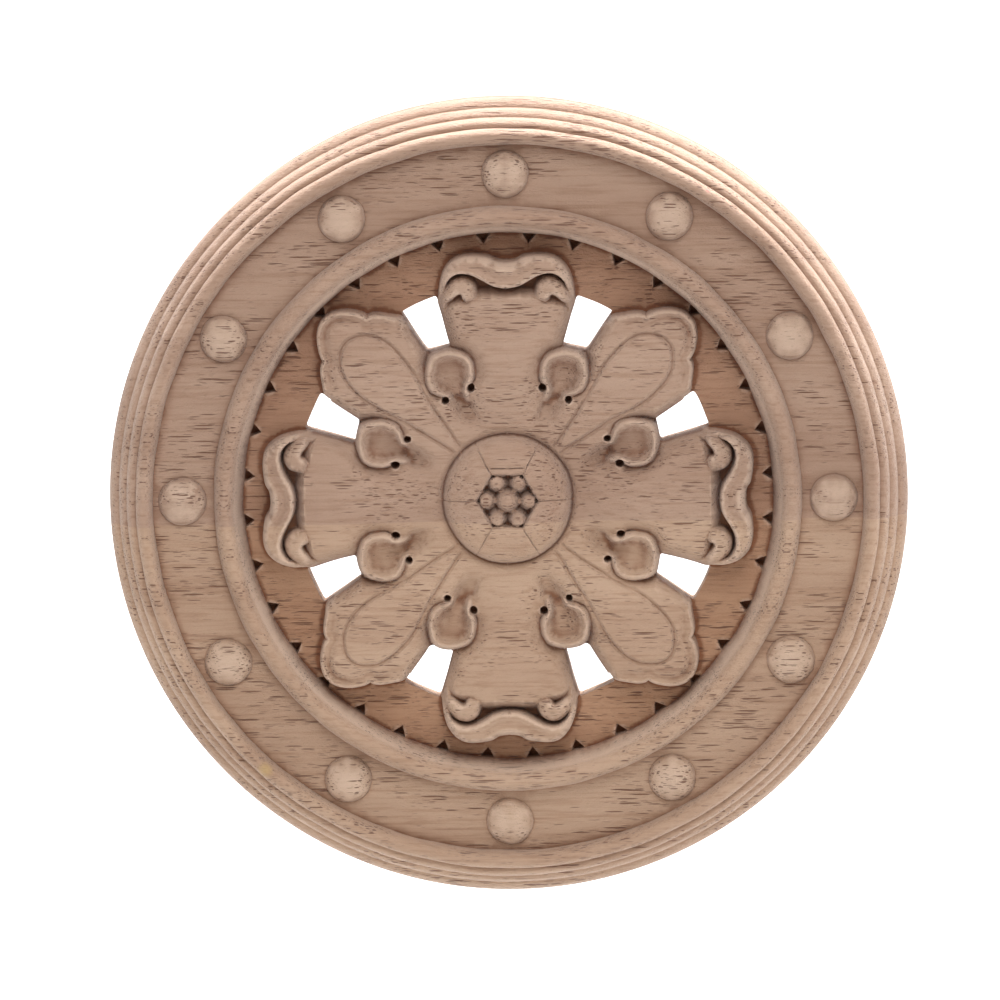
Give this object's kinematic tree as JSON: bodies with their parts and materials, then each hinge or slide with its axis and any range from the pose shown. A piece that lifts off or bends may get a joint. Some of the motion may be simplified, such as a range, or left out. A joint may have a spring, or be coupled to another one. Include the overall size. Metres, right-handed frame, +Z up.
{
  "type": "carved wooden rosette",
  "caption": "Round wall rosette carved in wood: stepped rim, frieze of half-round pellets, inner ring and a pierced flower with broad and curled petals around a domed button.",
  "frame": {"origin": "centre of the flat back, where it meets the wall or panel", "axes": "+Z up, +X to the right of someone facing the rosette, and the carved face looks along -Y"},
  "size_m": [0.2, 0.019, 0.2],
  "materials": {
    "carved_wood": "bare sanded pale hardwood with short dark pores, two boards glued edge to edge, no varnish"
  },
  "bodies": {
    "root": {"carved_rosette": "carved_wood"}
  },
  "joints": []
}
